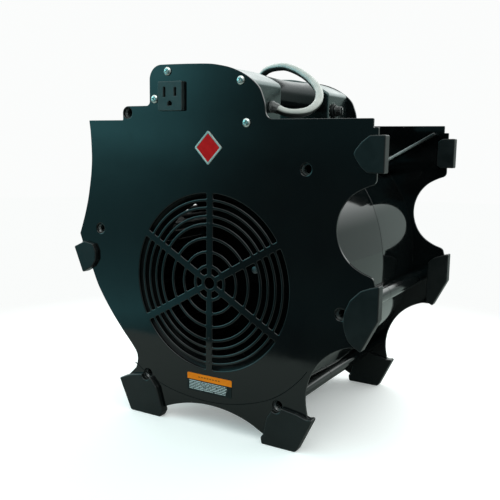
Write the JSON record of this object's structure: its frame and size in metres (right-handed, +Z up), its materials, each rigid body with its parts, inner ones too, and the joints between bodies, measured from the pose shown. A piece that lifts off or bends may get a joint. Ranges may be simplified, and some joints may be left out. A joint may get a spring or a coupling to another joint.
{
  "type": "portable centrifugal floor blower",
  "caption": "Glossy black floor blower with moulded side plates, concentric inlet grilles, rubber corner feet, carry grip, speed knob, outlet socket and grey power cord.",
  "frame": {"origin": "on the floor, under the centre of the overall box; the wheel axis passes over it at 145.4 mm", "axes": "+Z up, +Y along the wheel axis from the near side plate to the far one, +X to the back of the scroll, so the air leaves at -X"},
  "size_m": [0.3435, 0.2208, 0.3617],
  "materials": {
    "shell_gloss": "glossy moulded black, mirror-like",
    "box_gloss": "glossy moulded black",
    "foot_rubber": "satin black rubber",
    "screw_silver": "bright zinc plate",
    "screw_dark": "dark zinc plate",
    "cord_grey": "grey vinyl jacket",
    "socket_black": "satin black",
    "badge_red": "red enamel with a pale rim",
    "label_orange": "printed film",
    "motor_paint": "satin black enamel",
    "steel": "ground",
    "bracket_steel": "satin black enamel",
    "winding_copper": "enamelled winding",
    "capacitor_case": "satin",
    "wheel_plastic": "satin black",
    "satin_plastic": "satin black",
    "knob_plastic": "satin black",
    "relief_plastic": "satin",
    "plug_vinyl": "satin black"
  },
  "bodies": {
    "housing": {"badge_plate": "badge_red", "bearing_front": "steel", "bearing_rear": "steel", "box_screw_a_far": "screw_silver", "box_screw_a_near": "screw_silver", "box_screw_b_far": "screw_silver", "box_screw_b_near": "screw_silver", "box_screw_c_far": "screw_silver", "box_screw_c_near": "screw_silver", "box_screw_d_far": "screw_silver", "box_screw_d_near": "screw_silver", "cord_box": "box_gloss", "foot_bottom_left_far": "foot_rubber", "foot_bottom_left_near": "foot_rubber", "foot_bottom_right_far": "foot_rubber", "foot_bottom_right_near": "foot_rubber", "foot_left_far": "foot_rubber", "foot_left_near": "foot_rubber", "foot_right_lower_far": "foot_rubber", "foot_right_lower_near": "foot_rubber", "foot_right_upper_far": "foot_rubber", "foot_right_upper_near": "foot_rubber", "hand_grip": "box_gloss", "info_label": "label_orange", "inlet_ring_far": "satin_plastic", "inlet_ring_near": "satin_plastic", "motor_bracket": "bracket_steel", "motor_can": "motor_paint", "motor_endbell_front": "motor_paint", "motor_endbell_rear": "motor_paint", "motor_stator": "winding_copper", "power_cord": "cord_grey", "power_plug": "plug_vinyl", "power_socket": "socket_black", "run_capacitor": "capacitor_case", "shell_far": "shell_gloss", "shell_near": "shell_gloss", "shell_screw_bottom_left": "screw_dark", "shell_screw_bottom_right": "screw_dark", "shell_screw_mouth": "screw_dark", "shell_screw_right": "screw_dark", "shell_screw_top_left": "screw_dark", "shell_screw_top_right": "screw_dark", "strain_relief": "relief_plastic", "switch_bezel": "satin_plastic", "switch_body": "satin_plastic", "switch_box": "box_gloss"},
    "rotor": {"blower_wheel": "wheel_plastic", "motor_shaft": "steel", "motor_rotor": "steel"},
    "knob": {"speed_knob": "knob_plastic"}
  },
  "joints": [
    {"name": "wheel_spin", "type": "hinge", "parent": "housing", "child": "rotor", "pos_m": [0, 0, 0.1454], "axis": [0, 1, 0], "continuous": true},
    {"name": "knob_turn", "type": "hinge", "parent": "housing", "child": "knob", "pos_m": [0.053, 0.0647, 0.3148], "axis": [-1, 0, 0], "range_deg": [0, 135]}
  ]
}
